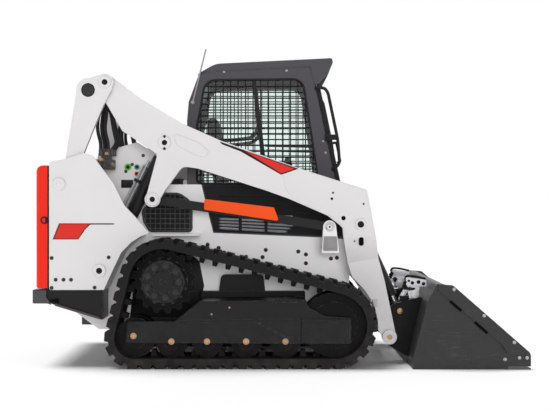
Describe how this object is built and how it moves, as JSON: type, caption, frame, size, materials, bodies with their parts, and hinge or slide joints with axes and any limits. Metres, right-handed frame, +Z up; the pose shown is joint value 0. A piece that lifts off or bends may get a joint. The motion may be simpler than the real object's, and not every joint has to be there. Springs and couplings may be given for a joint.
{
  "type": "compact track loader",
  "caption": "Compact track loader with rubber tracks, vertical-lift arms, a closed cab with screened windows, opening doors and a tilting bucket on a quick attach.",
  "frame": {"origin": "centre of the overall box at ground level", "axes": "+X forward to the bucket, +Y to the machine's left, +Z up"},
  "size_m": [3.296, 1.88, 2.158],
  "materials": {
    "body_white": "satin",
    "frame_black": "satin",
    "cab_grey": "satin",
    "trim_black": "matte",
    "glass": "gloss",
    "seat_cloth": "matte",
    "lamp_clear": "gloss",
    "lamp_red": "gloss",
    "engine_grey": "matte",
    "track_rubber": "matte",
    "steel_dark": "matte",
    "gate_red": "gloss",
    "support_orange": "gloss",
    "rod_chrome": "polished",
    "pin_bronze": "satin",
    "bucket_grey": "satin",
    "edge_steel": "satin"
  },
  "bodies": {
    "chassis": {"main_frame": "body_white", "tower_right": "body_white", "tower_left": "body_white", "rear_link_right": "body_white", "rear_link_left": "body_white", "link_cross_tube": "body_white", "rear_bumper": "frame_black", "engine_block": "engine_grey", "side_vents": "trim_black", "track_mounts": "frame_black", "cab_frame": "cab_grey", "cab_roof": "cab_grey", "cab_rear_window": "glass", "side_windows": "glass", "side_screens": "trim_black", "seat_base": "trim_black", "seat_cushion": "seat_cloth", "seat_back": "seat_cloth", "control_consoles": "trim_black", "grab_handles": "trim_black", "work_lamps": "lamp_clear", "antenna": "trim_black", "track_frame_right": "frame_black", "track_frame_left": "frame_black", "track_right": "track_rubber", "track_left": "track_rubber", "sprockets": "steel_dark", "idlers": "frame_black", "rollers": "steel_dark"},
    "rear_door": {"tailgate_frame": "gate_red", "tailgate_grille": "trim_black", "tail_lamps": "lamp_red"},
    "hood": {"engine_hood": "trim_black"},
    "cab_door": {"cab_door_frame": "trim_black", "cab_door_glass": "glass"},
    "lift_arm": {"lift_arm_right": "body_white", "lift_arm_left": "body_white", "arm_cross_beam": "body_white"},
    "control_link": {"control_links": "frame_black", "arm_support": "support_orange"},
    "lift_barrel": {"lift_barrels": "frame_black"},
    "lift_rod": {"lift_rods": "rod_chrome"},
    "attachment_pins": {"pivot_pins": "pin_bronze"},
    "attachment": {"quick_attach": "frame_black", "bucket": "bucket_grey", "cutting_edge": "edge_steel"},
    "tilt_barrel": {"tilt_barrels": "frame_black"},
    "tilt_piston": {"tilt_pistons": "rod_chrome"},
    "tilt_rod": {"tilt_rods": "rod_chrome"}
  },
  "joints": [
    {"name": "lift", "type": "hinge", "parent": "chassis", "child": "lift_arm", "pos_m": [-1.165, 0, 1.897], "axis": [0, -1, 0], "range_deg": [0, 71.24]},
    {"name": "control_link_swing", "type": "hinge", "parent": "chassis", "child": "control_link", "pos_m": [0.34, 0, 0.93], "axis": [0, 1, 0], "range_deg": [0, 48.27]},
    {"name": "lift_barrel_swing", "type": "hinge", "parent": "chassis", "child": "lift_barrel", "pos_m": [-1.198, 0, 0.641], "axis": [0, -1, 0], "range_deg": [0, 7.22]},
    {"name": "lift_rod_slide", "type": "slide", "parent": "lift_barrel", "child": "lift_rod", "axis": [0.4455, 0, 0.8953], "range_m": [0, 0.642]},
    {"name": "attachment_level", "type": "hinge", "parent": "lift_arm", "child": "attachment_pins", "pos_m": [0.745, 0, 0.185], "axis": [0, 1, 0], "range_deg": [0, 71.74]},
    {"name": "tilt", "type": "hinge", "parent": "attachment_pins", "child": "attachment", "pos_m": [0.745, 0, 0.185], "axis": [0, 1, 0], "range_deg": [-28, 42]},
    {"name": "tilt_barrel_swing", "type": "hinge", "parent": "lift_arm", "child": "tilt_barrel", "pos_m": [0.546, 0, 0.948], "axis": [0, 1, 0], "range_deg": [0, 3.5]},
    {"name": "tilt_piston_slide", "type": "slide", "parent": "tilt_barrel", "child": "tilt_piston", "axis": [0.4226, 0, -0.9063], "range_m": [0, 0.219]},
    {"name": "tilt_rod_slide", "type": "slide", "parent": "tilt_piston", "child": "tilt_rod", "axis": [0.4226, 0, -0.9063], "range_m": [-0.0705, 0.105]},
    {"name": "rear_door", "type": "hinge", "parent": "chassis", "child": "rear_door", "pos_m": [-1.585, 0.775, 0.9], "axis": [0, 0, -1], "range_deg": [0, 100]},
    {"name": "hood_lid", "type": "hinge", "parent": "chassis", "child": "hood", "pos_m": [-0.664, 0, 1.243], "axis": [0, 1, 0], "range_deg": [0, 35]},
    {"name": "cab_door", "type": "hinge", "parent": "chassis", "child": "cab_door", "pos_m": [0.48008, 0.405, 0.90899], "axis": [-0.21, 0, 0.9777], "range_deg": [0, 90]}
  ],
  "couplings": [
    {"joint": "control_link_swing", "follows": "lift", "ratio": 0.6706},
    {"joint": "lift_barrel_swing", "follows": "lift", "ratio": 0.094267},
    {"joint": "lift_rod_slide", "follows": "lift", "m_per_rad": 0.5123},
    {"joint": "attachment_level", "follows": "lift", "ratio": 1},
    {"joint": "tilt_barrel_swing", "follows": "lift", "ratio": 0.042111},
    {"joint": "tilt_piston_slide", "follows": "lift", "m_per_rad": 0.17395},
    {"joint": "tilt_rod_slide", "follows": "tilt", "m_per_rad": 0.13751}
  ]
}
